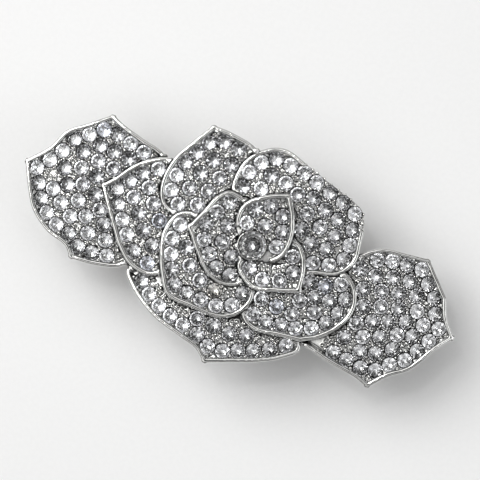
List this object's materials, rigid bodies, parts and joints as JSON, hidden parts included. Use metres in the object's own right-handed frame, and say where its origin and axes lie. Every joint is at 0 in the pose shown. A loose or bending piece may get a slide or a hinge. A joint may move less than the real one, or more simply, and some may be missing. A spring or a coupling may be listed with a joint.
{
  "type": "rhinestone hair clip",
  "caption": "Rose-shaped rhinestone hair clip: pave petals and two leaves on a French barrette clasp that swings open.",
  "frame": {"origin": "middle of the clip on the flat outer face of the closed clasp arm", "axes": "+X along the clip towards the latch, +Z out of the jewelled face, +Y across the clip"},
  "size_m": [0.084, 0.041, 0.0176],
  "materials": {
    "rhodium_plate": "polished",
    "crystal": "faceted, foil backed",
    "clasp_steel": "nickel plated, satin",
    "rivet_steel": "satin",
    "spring_steel": "tempered, brushed"
  },
  "bodies": {
    "base": {"leaf_left": "rhodium_plate", "leaf_right": "rhodium_plate", "petal_bottom": "rhodium_plate", "petal_left": "rhodium_plate", "petal_top": "rhodium_plate", "petal_lower_right": "rhodium_plate", "petal_right": "rhodium_plate", "inner_petal_lower": "rhodium_plate", "inner_petal_left": "rhodium_plate", "inner_petal_right": "rhodium_plate", "centre_petal": "rhodium_plate", "stones_leaf_left": "crystal", "stones_leaf_right": "crystal", "stones_petal_bottom": "crystal", "stones_petal_left": "crystal", "stones_petal_top": "crystal", "stones_petal_lower_right": "crystal", "stones_petal_right": "crystal", "stones_inner_petal_lower": "crystal", "stones_inner_petal_left": "crystal", "stones_inner_petal_right": "crystal", "stones_centre_petal": "crystal", "centre_setting": "rhodium_plate", "centre_stone": "crystal", "rose_plate": "clasp_steel", "base_bar": "clasp_steel", "mount_rivets": "rivet_steel", "bow_spring": "spring_steel", "hinge_pin": "rivet_steel", "latch_plate": "clasp_steel", "latch_rivet": "rivet_steel"},
    "clasp_arm": {"clasp_arm": "clasp_steel"},
    "latch_tab_front": {"latch_tab_front": "clasp_steel"},
    "latch_tab_back": {"latch_tab_back": "clasp_steel"}
  },
  "joints": [
    {"name": "clasp_hinge", "type": "hinge", "parent": "base", "child": "clasp_arm", "pos_m": [-0.027, 0, 0.0021], "axis": [0, 1, 0], "range_deg": [0, 75]},
    {"name": "tab_front_pinch", "type": "hinge", "parent": "base", "child": "latch_tab_front", "pos_m": [0.0285, -0.00215, 0.0091], "axis": [1, 0, 0], "range_deg": [0, 8], "stiffness_Nm_per_rad": 0.25},
    {"name": "tab_back_pinch", "type": "hinge", "parent": "base", "child": "latch_tab_back", "pos_m": [0.0285, 0.00215, 0.0091], "axis": [-1, 0, 0], "range_deg": [0, 8], "stiffness_Nm_per_rad": 0.25}
  ]
}
